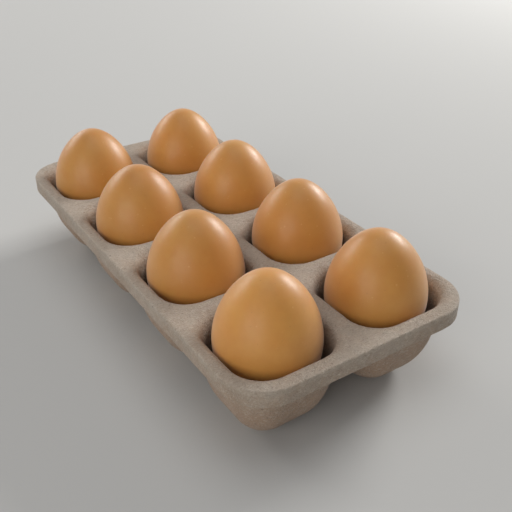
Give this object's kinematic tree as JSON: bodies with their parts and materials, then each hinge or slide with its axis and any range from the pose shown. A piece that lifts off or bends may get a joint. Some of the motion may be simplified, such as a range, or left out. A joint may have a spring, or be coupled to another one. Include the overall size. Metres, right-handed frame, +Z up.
{
  "type": "egg carton",
  "caption": "Open moulded pulp egg carton: a tray with two rows of rounded cups under a flat deck and turned-down rim, with an egg standing in each cup.",
  "frame": {"origin": "on the surface the tray stands on, under the middle of the tray", "axes": "+X along the rows of cups, +Y across the rows, +Z up"},
  "size_m": [0.225, 0.112, 0.0665],
  "materials": {
    "pulp": "matt moulded pulp with fine fibre grain",
    "eggshell": "smooth eggshell, softly glossy",
    "egg_white": "clear jelly",
    "egg_yolk": "smooth"
  },
  "bodies": {
    "tray": {"egg_tray": "pulp"},
    "egg_a1": {"egg_a1_shell": "eggshell", "egg_a1_white": "egg_white", "egg_a1_yolk": "egg_yolk"},
    "egg_a2": {"egg_a2_shell": "eggshell", "egg_a2_white": "egg_white", "egg_a2_yolk": "egg_yolk"},
    "egg_a3": {"egg_a3_shell": "eggshell", "egg_a3_white": "egg_white", "egg_a3_yolk": "egg_yolk"},
    "egg_a4": {"egg_a4_shell": "eggshell", "egg_a4_white": "egg_white", "egg_a4_yolk": "egg_yolk"},
    "egg_b1": {"egg_b1_shell": "eggshell", "egg_b1_white": "egg_white", "egg_b1_yolk": "egg_yolk"},
    "egg_b2": {"egg_b2_shell": "eggshell", "egg_b2_white": "egg_white", "egg_b2_yolk": "egg_yolk"},
    "egg_b3": {"egg_b3_shell": "eggshell", "egg_b3_white": "egg_white", "egg_b3_yolk": "egg_yolk"},
    "egg_b4": {"egg_b4_shell": "eggshell", "egg_b4_white": "egg_white", "egg_b4_yolk": "egg_yolk"}
  },
  "joints": [
    {"name": "egg_a1_lift", "type": "slide", "parent": "tray", "child": "egg_a1", "axis": [0, 0, 1], "range_m": [0, 0.06]},
    {"name": "egg_a2_lift", "type": "slide", "parent": "tray", "child": "egg_a2", "axis": [0, 0, 1], "range_m": [0, 0.06]},
    {"name": "egg_a3_lift", "type": "slide", "parent": "tray", "child": "egg_a3", "axis": [0, 0, 1], "range_m": [0, 0.06]},
    {"name": "egg_a4_lift", "type": "slide", "parent": "tray", "child": "egg_a4", "axis": [0, 0, 1], "range_m": [0, 0.06]},
    {"name": "egg_b1_lift", "type": "slide", "parent": "tray", "child": "egg_b1", "axis": [0, 0, 1], "range_m": [0, 0.06]},
    {"name": "egg_b2_lift", "type": "slide", "parent": "tray", "child": "egg_b2", "axis": [0, 0, 1], "range_m": [0, 0.06]},
    {"name": "egg_b3_lift", "type": "slide", "parent": "tray", "child": "egg_b3", "axis": [0, 0, 1], "range_m": [0, 0.06]},
    {"name": "egg_b4_lift", "type": "slide", "parent": "tray", "child": "egg_b4", "axis": [0, 0, 1], "range_m": [0, 0.06]}
  ]
}
